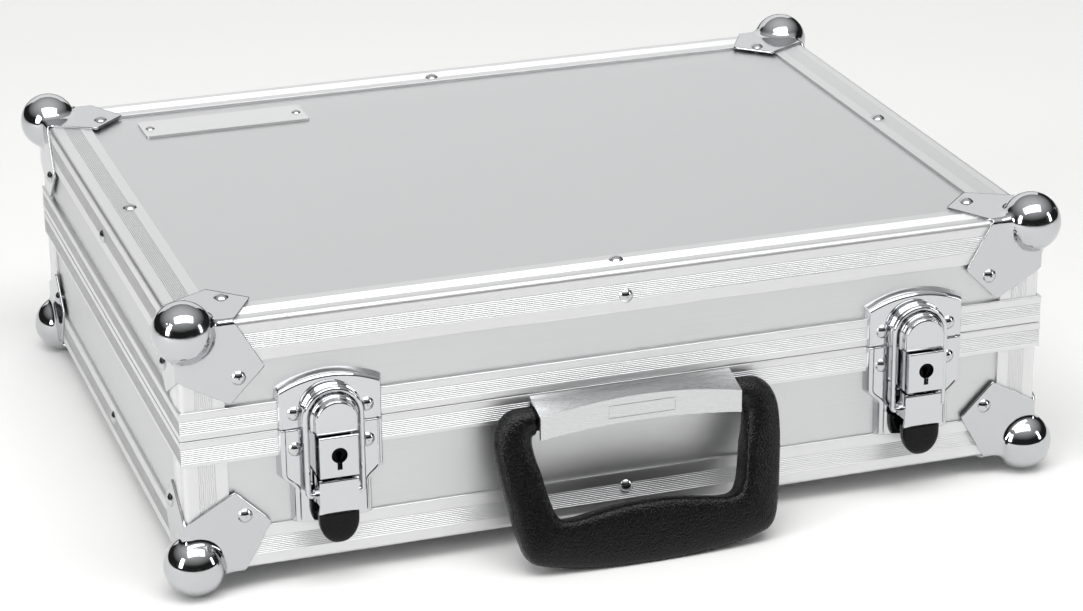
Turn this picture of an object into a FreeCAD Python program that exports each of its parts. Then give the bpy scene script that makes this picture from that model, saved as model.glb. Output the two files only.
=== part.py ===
import FreeCAD, Part
import math
import os

# Aluminium carry case: laminated panels, reeded edge angles, ball corners, two keyed
# draw latches, a drop handle and foam inside. Millimetres, +Z up, front towards -Y.
# Everything is built about the middle of the case, with z = 0 at its underside, and
# shifted once at the end, so that z = 0 is the floor that the ball corners stand on.

# ---- driving dimensions -------------------------------------------------------------
case_width = 450.0
case_depth = 345.0
case_height = 130.0
seam_height = 71.5

panel_t = 6.0
profile_t = 1.5
profile_leg = 22.0
bead_r = 3.0
rib_start = 7.0
rib_count = 8
rib_pitch = 1.0
rib_depth = 0.3
rib_end_gap = 0.2
line_gap = 0.5

band_proud = 1.0
band_base = 13.5
band_lid = 14.5
band_skin = 1.5
band_edge_r = 0.6
band_rib_start = 3.5
band_base_ribs = 8
band_lid_ribs = 7
web_t = 5.0
inner_leg_t = 1.2
inner_leg_h = 11.5
seam_gap = 0.3
tongue_w = 2.7
tongue_h = 2.7
groove_clear = 0.15

ball_r = 15.3
ball_inset = 4.2
ball_sheet = 1.2
leaf_edge = 27.5
leaf_far = 42.0
leaf_near = 24.5
leaf_corner_r = 2.0
leaf_rivet = 29.0

rivet_head_r = 3.65
rivet_head_h = 1.9
rivet_shank_r = 1.6
hole_clear = 0.05
edge_rivet_front = 14.0
edge_rivet_top = 15.0

hardware_x = 1.3
latch_x = 153.5
latch_edge = 8.75
latch_plate_t = 1.2
latch_face = 3.2
latch_rivet_gap = 2.5
keeper_side_h = 21.3
keeper_crown_h = 28.1
keeper_rivet_h = 8.0
keeper_side_draft = 1.3
keeper_end_draft = 2.4
plate_wide_h = 23.5
plate_taper_h = 31.5
plate_side_h = 50.0
plate_crown_h = 52.0
plate_taper_in = 6.25
plate_rivet_h = 10.5
plate_side_draft = 1.3
plate_end_draft = 0.8

lever_w = 19.6
housing_face = 17.5
housing_h = 22.0
housing_top = 0.6
housing_wall = 1.5
housing_edge_r = 0.8
keyhole_r = 4.0
keyhole_drop = 10.5
keyhole_slot_w = 2.5
keyhole_slot_h = 7.5
barrel_r = 5.0
barrel_clear = 0.4
barrel_back = 1.0
cam_reach = 2.5
cam_w = 4.0
cam_t = 2.0
keyway_r = 1.6
keyway_w = 1.6
keyway_h = 4.0
keyway_deep = 5.0

lever_pivot_out = 10.3
lever_pivot_drop = 27.8
lever_pin_r = 1.3
run_clear = 0.05
tab_face = 15.0
tab_t = 1.5
tab_top = 24.3
tab_end = 41.5
tab_top_r = 1.2
tab_flare = 0.6
tab_tongue_w = 14.0
tab_tongue_h = 8.0
cheek_t = 1.5
cheek_top = 24.0
cheek_end = 37.5
cheek_back = 5.5
ear_t = 1.3
ear_r = 2.6
ear_gap = 0.4
tip_end = 58.5
tip_back = 7.5
tip_front = 15.7
tip_r = 9.0
tip_edge_r = 2.2

wire_r = 1.5
wire_out = 8.0
bail_gap = 2.5
bail_top = 20.0
bail_pivot_drop = 34.0
bail_bend = 1.3
bail_lug_r = 3.0
bail_lug_t = 1.0
wire_clear = 0.1
hook_clear = 0.4
hook_base_over = 1.7
hook_top_under = 2.5

bracket_w = 105.2
bracket_out = 19.2
bracket_t = 2.0
bracket_back_t = 1.5
bracket_top_mid = 71.3
bracket_top_end = 65.8
bracket_low_mid = 57.8
bracket_low_end = 54.1
bracket_back_low = 56.0
bracket_wall_drop = 0.3
bracket_rib_in = 12.0
bracket_rib_short = 0.5
badge_w = 35.0
badge_h = 7.0
badge_z = 64.0
badge_line = 0.4
badge_deep = 0.3

grip_pivot_out = 8.6
grip_pivot_z = 60.5
grip_tilt = 20.0
grip_gap = 0.8
grip_hub_r = 7.3
grip_stub_r = 5.2
grip_stub_in = 0.5
grip_pin_r = 2.5
grip_arm_w = 21.8
grip_shoulder_in = 9.7
grip_step = 2.2
grip_side_v = 6.0
grip_drop = 79.8
grip_bow_out = 9.3
grip_taper_out = 8.9
grip_bar_h = 34.5
grip_bow_in = 5.2
grip_taper_in = 6.3
grip_shoulder_bend = 8.0
grip_side_bend = 14.0
grip_foot_bend = 15.0
grip_inner_bend = 9.0
grip_bow_bend = 200.0
grip_half_mid = 8.0
grip_mid_v = 22.0
grip_half_low = 9.0
grip_low_v = 60.0
grip_floor_gap = 0.3

hinge_x = 140.0
hinge_w = 50.0
hinge_leaf_t = 1.5
hinge_leaf_low = 34.0
hinge_knuckle_r = 3.4
hinge_pin_r = 1.6
hinge_middle_w = 17.4
hinge_side_gap = 0.3
hinge_clear = 0.3
hinge_rivet_x = 15.0
hinge_step_h = 2.3
hinge_step_gap = 0.2
hinge_seam_gap = 1.0

plaque_w = 92.0
plaque_d = 26.0
plaque_t = 1.2
plaque_x = -131.0
plaque_y = 123.0
plaque_rivet_x = 41.5
plaque_rivet_r = 2.6
plaque_corner_r = 1.5

foam_clear = 0.5
foam_floor_t = 10.0
foam_wall_t = 18.0
foam_wall_top = 60.0
foam_divider_t = 14.0
foam_columns = 4
foam_lid_t = 20.0

# ---- values worked out from them -----------------------------------------------------
SIDES = {"front": 0, "right": 90, "rear": 180, "left": -90}
CORNERS = ["front_left", "front_right", "rear_right", "rear_left"]
LATCHES = {"left": hardware_x - latch_x, "right": hardware_x + latch_x}
inner_face = profile_t + panel_t
tab_back = tab_face - tab_t
hinge_out = band_proud + hinge_knuckle_r + hinge_clear
hook_top = wire_out - wire_r - hook_clear
bail_half = lever_w / 2 + bail_gap + wire_r
bail_arc_h = bail_top - bail_half
hook_base_r = bail_half + hook_base_over
hook_top_r = bail_half - hook_top_under
latch_rivet_x = hook_base_r + latch_rivet_gap
latch_plate_w = 2 * (latch_rivet_x + latch_edge)
plate_narrow_w = latch_plate_w - 2 * plate_taper_in
grip_hub_x = bracket_w / 2 + grip_gap
wide = 400.0


def vec(x, y, z):
    return FreeCAD.Vector(x, y, z)


# ---- drawing helpers -----------------------------------------------------------------
def corner_arc(before, here, after, radius):
    """Two tangent points and the middle point of the arc that rounds one corner."""
    inward = (before - here).normalize()
    onward = (after - here).normalize()
    half = inward.getAngle(onward) / 2
    reach = radius / math.tan(half)
    middle = (inward + onward).normalize() * (radius / math.sin(half) - radius)
    return here + inward * reach, here + middle, here + onward * reach


def outline(points, z=0.0):
    """Closed wire through (x, y) or (x, y, corner radius), at height z."""
    spots = [vec(p[0], p[1], z) for p in points]
    radii = [p[2] if len(p) > 2 else 0.0 for p in points]
    count = len(spots)
    edges = []
    starts = []
    ends = []
    for i in range(count):
        if radii[i] > 0:
            a, m, b = corner_arc(spots[i - 1], spots[i], spots[(i + 1) % count], radii[i])
            edges.append((i, Part.Arc(a, m, b).toShape()))
            starts.append(a)
            ends.append(b)
        else:
            starts.append(spots[i])
            ends.append(spots[i])
    path = []
    arcs = dict(edges)
    for i in range(count):
        if i in arcs:
            path.append(arcs[i])
        target = starts[(i + 1) % count]
        if (target - ends[i]).Length > 1e-6:
            path.append(Part.LineSegment(ends[i], target).toShape())
    return Part.Wire(path)


def prism(points, low, high):
    """Outline in x, y, solid from z = low to z = high."""
    return Part.Face(outline(points, low)).extrude(vec(0, 0, high - low))


def box(x0, x1, y0, y1, z0, z1):
    return Part.makeBox(x1 - x0, y1 - y0, z1 - z0, vec(x0, y0, z0))


def rod(radius, start, end):
    return Part.makeCylinder(radius, (end - start).Length, start, end - start)


def ribs(start, end, inward, count, depth):
    """Points of a straight stretch with shallow V grooves cut towards inward."""
    along = ((end[0] - start[0]) / count, (end[1] - start[1]) / count)
    points = []
    for i in range(count):
        for share, cut in ((0.2, 0.0), (0.5, depth), (0.8, 0.0)):
            x = start[0] + along[0] * (i + share) + inward[0] * cut
            y = start[1] + along[1] * (i + share) + inward[1] * cut
            points.append((x, y))
    return points


# ---- placing: a piece drawn as (along the face, height, outward) goes on a side --------
def half_of(side):
    return case_depth / 2 if side in ("front", "rear") else case_width / 2


def length_of(side):
    return case_width if side in ("front", "rear") else case_depth


def on_face(shape, side):
    """Face frame: x along the side, y up, z outward from the box's face."""
    shape = shape.copy()
    shape.rotate(vec(0, 0, 0), vec(1, 0, 0), 90)
    shape.translate(vec(0, -half_of(side), 0))
    shape.rotate(vec(0, 0, 0), vec(0, 0, 1), SIDES[side])
    return shape


def face_bar(section, length):
    """Section drawn as (depth inward, height), run along the face."""
    bar = prism(section, -length / 2, length / 2)
    bar.rotate(vec(0, 0, 0), vec(0, 1, 0), 90)
    return bar


def mitred(section, side):
    """A bar along one side, cut at 45 degrees where it meets its neighbours."""
    length = length_of(side)
    reach = 2 * profile_leg
    long_half = length / 2 + reach
    short_half = length / 2 - reach
    keep = prism(
        [(-long_half, -reach), (long_half, -reach), (short_half, reach), (-short_half, reach)],
        -case_height, 2 * case_height,
    )
    keep.rotate(vec(0, 0, 0), vec(1, 0, 0), -90)
    return on_face(face_bar(section, length + reach).common(keep), side)


def at_corner(shape, name, top=False):
    """A piece drawn in the corner at the origin, inward along +x, +y and +z."""
    shape = shape.copy()
    if top:
        shape.rotate(vec(0, 0, 0), vec(1, 1, 0), 180)
    shape.rotate(vec(0, 0, 0), vec(0, 0, 1), 90 * CORNERS.index(name))
    x = case_width / 2 if "right" in name else -case_width / 2
    y = case_depth / 2 if "rear" in name else -case_depth / 2
    shape.translate(vec(x, y, case_height if top else 0))
    return shape


# ---- panels --------------------------------------------------------------------------
def flat_panel(low):
    x = case_width / 2 - profile_t
    y = case_depth / 2 - profile_t
    return box(-x, x, -y, y, low, low + panel_t)


def wall_panel(side, low, high):
    """Front and rear run the full width; left and right fit between them."""
    half = length_of(side) / 2 - (profile_t if side in ("front", "rear") else inner_face)
    return on_face(box(-half, half, low, high, -inner_face, -profile_t), side)


# ---- edge angles, corner angles and closure profiles ----------------------------------
def angle_outline():
    """Reeded angle, symmetrical about its corner at the origin, legs along +x and +y."""
    rib_end = rib_start + rib_count * rib_pitch
    line_low = rib_end + rib_end_gap
    line_high = line_low + line_gap
    up = ribs((0, rib_start), (0, rib_end), (1, 0), rib_count, rib_depth)
    line = [(0, line_low), (rib_depth, (line_low + line_high) / 2), (0, line_high)]
    leg_up = up + line + [(0, profile_leg, profile_t / 3)]
    leg_along = [(y, x) + tuple(r) for x, y, *r in reversed(leg_up)]
    inside = [(profile_t, profile_leg), (profile_t, profile_t), (profile_leg, profile_t)]
    return [(0, 0, bead_r)] + leg_up + inside + leg_along


def edge_angle(side, top):
    section = angle_outline()
    if top:
        section = [(x, case_height - y) + tuple(r) for x, y, *r in section]
    return mitred(section, side)


def corner_angles(low, high):
    angle = prism(angle_outline(), low, high)
    return [at_corner(angle, name) for name in CORNERS]


def step_outline(half, depth):
    """A groove (positive depth) or a tongue (negative depth) in the middle of the seam face."""
    middle = (profile_t + inner_face) / 2
    return [(middle - half, 0), (middle - half, depth), (middle + half, depth), (middle + half, 0)]


def closure_outline(band, rib_count_here, step):
    """Section about the seam: x is depth inward, y is the height away from the seam."""
    inner = inner_face + inner_leg_t
    rib_end = band_rib_start + rib_count_here * rib_pitch
    skin_in = band_skin - band_proud
    outside = ribs(
        (-band_proud, rib_end), (-band_proud, band_rib_start), (1, 0), rib_count_here, rib_depth,
    )
    return (
        [(-band_proud, band, band_edge_r)] + outside + [(-band_proud, 0, band_edge_r)] + step
        + [(inner, 0), (inner, inner_leg_h), (inner_face, inner_leg_h), (inner_face, web_t)]
        + [(skin_in, web_t), (skin_in, band - band_skin)]
        + [(profile_t, band - band_skin), (profile_t, band)]
    )


def closure_bar(side, lid):
    """One mitred length; the lid's rear one has no tongue, so the lid can turn out of it."""
    if not lid:
        groove = step_outline(tongue_w / 2 + groove_clear, tongue_h + 2 * groove_clear)
        section = closure_outline(band_base, band_base_ribs, groove)
        return mitred([(x, seam_height - y) + tuple(r) for x, y, *r in section], side)
    tongue = [] if side == "rear" else step_outline(tongue_w / 2, -tongue_h)
    section = closure_outline(band_lid, band_lid_ribs, tongue)
    return mitred([(x, seam_height + seam_gap + y) + tuple(r) for x, y, *r in section], side)


# ---- ball corners ---------------------------------------------------------------------
def ball_corner():
    """Pressed steel corner: three leaves that run into a hollow ball."""
    t = ball_sheet
    leaf = prism(
        [(-t, -t), (leaf_edge, -t, leaf_corner_r), (leaf_far, leaf_near, leaf_corner_r),
         (leaf_near, leaf_far, leaf_corner_r), (-t, leaf_edge, leaf_corner_r)],
        -t, 0,
    )
    leaves = leaf.copy()
    for k in (1, 2):
        turned = leaf.copy()
        turned.rotate(vec(0, 0, 0), vec(1, 1, 1), 120 * k)
        leaves = leaves.fuse(turned)
    room = box(0, wide, 0, wide, 0, wide)
    block = box(-t, 2 * leaf_far, -t, 2 * leaf_far, -t, 2 * leaf_far)
    block = block.makeFillet(bead_r, [e for e in block.Edges if is_bend(e, t)])
    leaves = block.common(leaves)
    centre = vec(ball_inset, ball_inset, ball_inset)
    ball = Part.makeSphere(ball_r, centre)
    shell = leaves.fuse(ball).cut(room).removeSplitter()
    return shell.cut(Part.makeSphere(ball_r - ball_sheet, centre)).removeSplitter()


def is_bend(edge, t):
    """The outer edge of a fold: both its ends lie on the outside of two leaves."""
    a, b = edge.Vertexes[0].Point, edge.Vertexes[-1].Point
    on_axis = [abs(a[i] + t) < 1e-4 and abs(b[i] + t) < 1e-4 for i in range(3)]
    return sum(on_axis) == 2


# ---- rivets ---------------------------------------------------------------------------
def rivet(x, y, seat, depth, head_r=rivet_head_r):
    """Domed rivet in the face frame: its head sits at z = seat, its shank ends at -depth."""
    head_h = rivet_head_h * head_r / rivet_head_r
    dome_r = (head_r ** 2 + head_h ** 2) / (2 * head_h)
    dome = Part.makeSphere(dome_r, vec(x, y, seat + head_h - dome_r))
    head = dome.common(box(x - wide, x + wide, y - wide, y + wide, seat, seat + wide))
    shank = rod(rivet_shank_r * head_r / rivet_head_r, vec(x, y, -depth), vec(x, y, seat + 0.1))
    return head.fuse(shank)


def hole(x, y, seat, depth, head_r=rivet_head_r):
    radius = rivet_shank_r * head_r / rivet_head_r + hole_clear
    return rod(radius, vec(x, y, -depth - 1), vec(x, y, seat + 1))


def leaf_pieces(make):
    """The three rivets or holes of one ball corner, drawn in the corner frame."""
    pieces = []
    for k in range(3):
        piece = make(leaf_rivet, leaf_rivet, ball_sheet, inner_face)
        piece.rotate(vec(0, 0, 0), vec(1, 0, 0), 180)
        piece.rotate(vec(0, 0, 0), vec(0, 0, 1), 90)
        piece.rotate(vec(0, 0, 0), vec(1, 1, 1), 120 * k)
        pieces.append(piece)
    return pieces


def corner_rivets(make, top):
    pieces = []
    for name in CORNERS:
        pieces += [at_corner(piece, name, top) for piece in leaf_pieces(make)]
    return pieces


def edge_rivets(make, top):
    """One rivet in the middle of each edge, through the upright leg and the flat leg."""
    pieces = []
    for side in SIDES:
        height = case_height - edge_rivet_front if top else edge_rivet_front
        pieces.append(on_face(make(0, height, 0, inner_face), side))
        flat = make(0, 0, 0, inner_face)
        if not top:
            flat.rotate(vec(0, 0, 0), vec(1, 0, 0), 180)
        flat.translate(vec(0, edge_rivet_top - half_of(side), case_height if top else 0))
        flat.rotate(vec(0, 0, 0), vec(0, 0, 1), SIDES[side])
        pieces.append(flat)
    return pieces


def latch_rivets(make, height):
    pieces = []
    for centre in LATCHES.values():
        for x in (centre - latch_rivet_x, centre + latch_rivet_x):
            pieces.append(on_face(make(x, height, latch_face, inner_face), "front"))
    return pieces


def hinge_rivets(make, height):
    seat = hinge_leaf_t - profile_t
    pieces = []
    for centre in (-hinge_x, hinge_x):
        for x in (centre - hinge_rivet_x, centre + hinge_rivet_x):
            pieces.append(on_face(make(x, height, seat, inner_face), "rear"))
    return pieces


def plaque_rivets(make):
    pieces = []
    seat = plaque_t - profile_t
    for x in (plaque_x - plaque_rivet_x, plaque_x + plaque_rivet_x):
        piece = make(x, plaque_y, seat, inner_face, plaque_rivet_r)
        piece.translate(vec(0, 0, case_height))
        pieces.append(piece)
    return pieces


def hinge_rivet_height(lid):
    off = (hinge_leaf_low + band_lid + hinge_step_h) / 2
    return seam_height + off if lid else seam_height - off


def all_rivets(make, lid):
    latch_height = seam_height + keeper_rivet_h if lid else seam_height - plate_rivet_h
    return (
        corner_rivets(make, lid) + edge_rivets(make, lid)
        + latch_rivets(make, latch_height) + hinge_rivets(make, hinge_rivet_height(lid))
    )


def drilled(shape, holes):
    """Cut the holes that reach into this piece."""
    near = [h for h in holes if h.BoundBox.intersect(shape.BoundBox)]
    return shape.cut(Part.makeCompound(near)) if near else shape


# ---- latches --------------------------------------------------------------------------
def case_skin():
    """What stands behind the latch plates: panel, closure band and edge angles."""
    half = latch_plate_w
    panel = box(-half, half, 0, case_height, -wide, -profile_t)
    band = box(-half, half, seam_height - band_base, seam_height + seam_gap + band_lid, -wide, band_proud)
    low_leg = box(-half, half, 0, profile_leg, -wide, 0)
    high_leg = box(-half, half, case_height - profile_leg, case_height, -wide, 0)
    return panel.fuse([band, low_leg, high_leg])


def pressed_plate(draw, side_draft, end_draft):
    """A plate with sloping sides: draw(side inset, end inset, wall, z) gives its outline."""
    low = -profile_t
    outer = Part.makeLoft([draw(0, 0, 0, low), draw(side_draft, end_draft, 0, latch_face)], True, True)
    top = latch_face - latch_plate_t
    wall_low = draw(0, 0, latch_plate_t, low - 1)
    wall_top = draw(side_draft, end_draft, latch_plate_t, top)
    hollow = Part.makeLoft([wall_low, wall_top], True, True)
    return outer.cut(hollow)


def keeper_wire(side_in, end_in, wall, z):
    half = latch_plate_w / 2 - side_in - wall
    low = seam_gap - 5 * wall
    side_h = keeper_side_h - end_in - wall
    crown = keeper_crown_h - end_in - wall
    start, end = vec(half, side_h, z), vec(-half, side_h, z)
    return Part.Wire([
        Part.LineSegment(vec(-half, low, z), vec(half, low, z)).toShape(),
        Part.LineSegment(vec(half, low, z), start).toShape(),
        Part.Arc(start, vec(0, crown, z), end).toShape(),
        Part.LineSegment(end, vec(-half, low, z)).toShape(),
    ])


def hook_wire(radius, z):
    top, low = bail_arc_h, seam_gap
    return Part.Wire([
        Part.LineSegment(vec(-radius, low, z), vec(radius, low, z)).toShape(),
        Part.LineSegment(vec(radius, low, z), vec(radius, top, z)).toShape(),
        Part.Arc(vec(radius, top, z), vec(0, top + radius, z), vec(-radius, top, z)).toShape(),
        Part.LineSegment(vec(-radius, top, z), vec(-radius, low, z)).toShape(),
    ])


def keeper():
    """Keeper plate with the low boss that the wire bail lies round."""
    plate = pressed_plate(keeper_wire, keeper_side_draft, keeper_end_draft)
    boss_low = hook_wire(hook_base_r, latch_face - latch_plate_t)
    boss = Part.makeLoft([boss_low, hook_wire(hook_top_r, hook_top)], True, True)
    piece = plate.fuse(boss)
    piece.translate(vec(0, seam_height, 0))
    return piece.cut(case_skin())


def plate_wire(side_in, end_in, wall, z):
    half = latch_plate_w / 2 - side_in - wall
    narrow = plate_narrow_w / 2 - side_in - wall
    high = -seam_gap + 5 * wall
    wide_h, taper_h = -plate_wide_h, -plate_taper_h
    side_h = -plate_side_h + end_in + wall
    crown = -plate_crown_h + end_in + wall
    right = [vec(half, high, z), vec(half, wide_h, z), vec(narrow, taper_h, z), vec(narrow, side_h, z)]
    left = [vec(-p.x, p.y, z) for p in reversed(right)]
    edges = [Part.LineSegment(a, b).toShape() for a, b in zip(right, right[1:])]
    edges.append(Part.Arc(right[-1], vec(0, crown, z), left[0]).toShape())
    edges += [Part.LineSegment(a, b).toShape() for a, b in zip(left, left[1:])]
    edges.append(Part.LineSegment(left[-1], right[0]).toShape())
    return Part.Wire(edges)


def ear(sign):
    """Lug on the latch plate that holds the lever's pin."""
    x1 = sign * (lever_w / 2 - cheek_t - ear_gap)
    x0 = x1 - sign * ear_t
    low, high = min(x0, x1), max(x0, x1)
    foot = latch_face - latch_plate_t
    post_low, post_high = -lever_pivot_drop - ear_r, -lever_pivot_drop + ear_r
    post = box(low, high, post_low, post_high, foot, lever_pivot_out)
    axis_low = vec(low, -lever_pivot_drop, lever_pivot_out)
    axis_high = vec(high, -lever_pivot_drop, lever_pivot_out)
    return post.fuse(rod(ear_r, axis_low, axis_high)).cut(rod(lever_pin_r, axis_low, axis_high))


def latch_plate():
    plate = pressed_plate(plate_wire, plate_side_draft, plate_end_draft)
    piece = plate.fuse([ear(-1), ear(1)])
    piece.translate(vec(0, seam_height, 0))
    return piece.cut(case_skin())


def lock_housing():
    """Box between the bail's legs, open below and behind, with the keyhole in its face."""
    half = lever_w / 2
    top, low = -housing_top, -housing_h
    wall = housing_wall
    outer = box(-half, half, low, top, latch_face, housing_face)
    inner = box(-half + wall, half - wall, low - 1, top - wall, latch_face - 1, housing_face - wall)
    front = [e for e in outer.Edges if e.BoundBox.ZMin > housing_face - 0.01]
    piece = outer.makeFillet(housing_edge_r, front).cut(inner)
    back, face = housing_face - 2 * wall, housing_face + 1
    round_hole = rod(keyhole_r, vec(0, -keyhole_drop, back), vec(0, -keyhole_drop, face))
    slot_low = -keyhole_drop - keyhole_slot_h
    slot = box(-keyhole_slot_w / 2, keyhole_slot_w / 2, slot_low, -keyhole_drop, back, face)
    piece = piece.cut(round_hole.fuse(slot))
    piece.translate(vec(0, seam_height, 0))
    return piece


def lock_barrel():
    """Turning barrel behind the keyhole, with its key slot and its cam."""
    front = housing_face - housing_wall - barrel_clear
    back = latch_face + barrel_back
    centre = -keyhole_drop
    barrel = rod(barrel_r, vec(0, centre, back), vec(0, centre, front))
    cam = box(0, barrel_r + cam_reach, centre - cam_w / 2, centre + cam_w / 2, back, back + cam_t)
    deep = front - keyway_deep
    keyway = rod(keyway_r, vec(0, centre, deep), vec(0, centre, front + 1))
    slot = box(-keyway_w / 2, keyway_w / 2, centre - keyway_h, centre, deep, front + 1)
    piece = barrel.fuse(cam).cut(keyway.fuse(slot))
    piece.translate(vec(0, seam_height, 0))
    return piece


def lever_cheek(sign):
    """Side wall of the lever, with the lug that the bail's end turns in."""
    outside = sign * lever_w / 2
    inside = outside - sign * cheek_t
    lug_end = outside + sign * bail_lug_t
    low, high = min(inside, outside), max(inside, outside)
    plate = box(low, high, -cheek_end, -cheek_top, cheek_back, (tab_back + tab_face) / 2)
    bail_at = -bail_pivot_drop
    lug = rod(bail_lug_r, vec(outside, bail_at, wire_out), vec(lug_end, bail_at, wire_out))
    pin = rod(
        lever_pin_r + run_clear,
        vec(low - 1, -lever_pivot_drop, lever_pivot_out), vec(high + 1, -lever_pivot_drop, lever_pivot_out),
    )
    near, far = inside - sign, outside + sign * (bail_lug_t + bail_lug_r)
    wire = rod(wire_r + wire_clear, vec(near, bail_at, wire_out), vec(far, bail_at, wire_out))
    return plate.fuse(lug).cut(pin.fuse(wire))


def lever_tab():
    """Face of the lever, with a rounded top edge that turns clear of the housing."""
    half = lever_w / 2
    wide_half = half + tab_flare
    tab = prism(
        [(-half, -tab_top), (-half, -cheek_end), (-wide_half, -tab_end), (wide_half, -tab_end),
         (half, -cheek_end), (half, -tab_top)],
        tab_back, tab_face,
    )
    top = [e for e in tab.Edges if e.BoundBox.YMin > -tab_top - 0.01 and e.BoundBox.ZMin > tab_face - 0.01]
    return tab.makeFillet(tab_top_r, top)


def lever():
    """Pressed lever: face tab, two cheeks with the bail lugs, and a tongue for its tip."""
    half = tab_tongue_w / 2
    tongue = box(-half, half, -tab_end - tab_tongue_h, -tab_end, tab_back, tab_face)
    piece = lever_tab().fuse([tongue, lever_cheek(-1), lever_cheek(1)]).removeSplitter()
    piece.translate(vec(0, seam_height, 0))
    return piece


def thumb_tip():
    """Moulded plastic tip pushed on to the lever's tongue."""
    half = lever_w / 2
    body = prism(
        [(-half, -tab_end), (-half, -tip_end, tip_r), (half, -tip_end, tip_r), (half, -tab_end)],
        tip_back, tip_front,
    )
    rim = [e for e in body.Edges if e.BoundBox.YMin < -tab_end - 1 and e.BoundBox.ZLength < 0.01]
    body = body.makeFillet(tip_edge_r, rim)
    slot = tab_tongue_w / 2 + run_clear
    slot_low = -tab_end - tab_tongue_h - run_clear
    pocket = box(-slot, slot, slot_low, -tab_end + 1, tab_back - run_clear, tab_face + run_clear)
    piece = body.cut(pocket)
    piece.translate(vec(0, seam_height, 0))
    return piece


def lever_pin():
    half = lever_w / 2
    start = vec(-half, -lever_pivot_drop, lever_pivot_out)
    pin = rod(lever_pin_r, start, start + vec(lever_w, 0, 0))
    pin.translate(vec(0, seam_height, 0))
    return pin


def bail():
    """Wire loop: two legs, a half circle on top, and ends turned in to the lever's cheeks."""
    bend = bail_bend * wire_r
    end_x = lever_w / 2 - cheek_t + wire_clear
    low, top = -bail_pivot_drop, bail_arc_h
    z = wire_out
    turn = bend * (1 - math.sqrt(0.5))
    edges = []
    for sign in (-1, 1):
        foot = vec(sign * (bail_half - bend), low, z)
        rise = vec(sign * bail_half, low + bend, z)
        middle = vec(sign * (bail_half - turn), low + turn, z)
        edges.append(Part.LineSegment(vec(sign * end_x, low, z), foot).toShape())
        edges.append(Part.Arc(foot, middle, rise).toShape())
        edges.append(Part.LineSegment(rise, vec(sign * bail_half, top, z)).toShape())
    left, crown, right = vec(-bail_half, top, z), vec(0, top + bail_half, z), vec(bail_half, top, z)
    edges.append(Part.Arc(left, crown, right).toShape())
    path = Part.Wire(Part.__sortEdges__(edges))
    first = path.OrderedVertexes[0].Point
    section = Part.Wire([Part.makeCircle(wire_r, first, vec(1, 0, 0))])
    wire = path.makePipeShell([section], True, True)
    wire.translate(vec(0, seam_height, 0))
    return wire


# ---- handle ---------------------------------------------------------------------------
def arch(middle, end, x):
    """Height of an arched edge, from its middle to the bracket's ends."""
    return middle + (end - middle) * (2 * x / bracket_w) ** 2


def bracket_section(x, inset, drop):
    wall_top = seam_height - bracket_wall_drop
    back, front = band_proud, bracket_out - inset
    slope = inset * (wall_top - arch(bracket_top_mid, bracket_top_end, x)) / (bracket_out - back)
    top_back = wall_top - inset
    top_front = arch(bracket_top_mid, bracket_top_end, x) - inset + slope
    low = arch(bracket_low_mid, bracket_low_end, x) - drop
    if inset:
        back += bracket_back_t
    corners = [vec(x, top_back, back), vec(x, top_front, front), vec(x, low, front), vec(x, low, back)]
    return Part.makePolygon(corners + corners[:1])


def bracket_block(inset, drop, reach):
    half = bracket_w / 2 + reach
    steps = [-1.0, -0.66, -0.33, 0.0, 0.33, 0.66, 1.0]
    return Part.makeLoft([bracket_section(half * s, inset, drop) for s in steps], True, False)


def at_handle(shape):
    """A handle piece, drawn about the handle's middle, in its place on the front."""
    shape = on_face(shape, "front")
    shape.translate(vec(hardware_x, 0, 0))
    return shape


def handle_bracket():
    """Open-ended cover channel with a back plate and two ribs that hold the pivot pins."""
    room = bracket_block(bracket_t, grip_hub_r, 1)
    cover = bracket_block(0, 0, 0).cut(room)
    back_t = band_proud + bracket_back_t
    cover = cover.cut(box(-wide, wide, -wide, bracket_back_low, -1, back_t))
    rib_x = bracket_w / 2 - bracket_rib_in
    rib_out = bracket_out - bracket_rib_short
    ribs_in = []
    pins = []
    for sign in (-1, 1):
        x0 = min(sign * rib_x, sign * (rib_x - bracket_t))
        rib = box(x0, x0 + bracket_t, bracket_back_low, seam_height, band_proud, rib_out)
        ribs_in.append(rib.common(room))
        start = vec(sign * (rib_x - 2 * bracket_t), grip_pivot_z, grip_pivot_out)
        pins.append(rod(grip_pin_r, start, start + vec(sign * 3 * bracket_t, 0, 0)))
    return at_handle(cover.fuse(ribs_in).cut(pins + [badge_groove()]))


def badge_groove():
    """Blank rectangle pressed into the cover's face."""
    front = bracket_out
    x, y, line = badge_w / 2, badge_h / 2, badge_line
    outer = box(-x, x, badge_z - y, badge_z + y, front - badge_deep, front + 1)
    low, high = badge_z - y + line, badge_z + y - line
    return outer.cut(box(line - x, x - line, low, high, front - 1, front + 2))


def grip_plan():
    """The D outline as (x, distance below the pivot, radius), from the right hub round."""
    side_x = grip_hub_x + grip_arm_w
    outer = [
        (grip_hub_x, -grip_hub_r), (side_x - grip_shoulder_in, -grip_hub_r, grip_shoulder_bend),
        (side_x, grip_side_v, grip_side_bend),
        (side_x - grip_taper_out, grip_drop - grip_bow_out, grip_foot_bend),
    ]
    inner_x = grip_hub_x + grip_step
    bar_top = grip_drop - grip_bar_h
    inner = [
        (inner_x - grip_taper_in, bar_top + grip_bow_in, grip_inner_bend),
        (inner_x, grip_hub_r), (grip_hub_x, grip_hub_r),
    ]
    outer_left = [(-x,) + tuple(rest) for x, *rest in reversed(outer)]
    inner_left = [(-x,) + tuple(rest) for x, *rest in reversed(inner)]
    bottom, top = [(0, grip_drop, grip_bow_bend)], [(0, bar_top, grip_bow_bend)]
    return outer + bottom + outer_left + inner_left + top + inner


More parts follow.
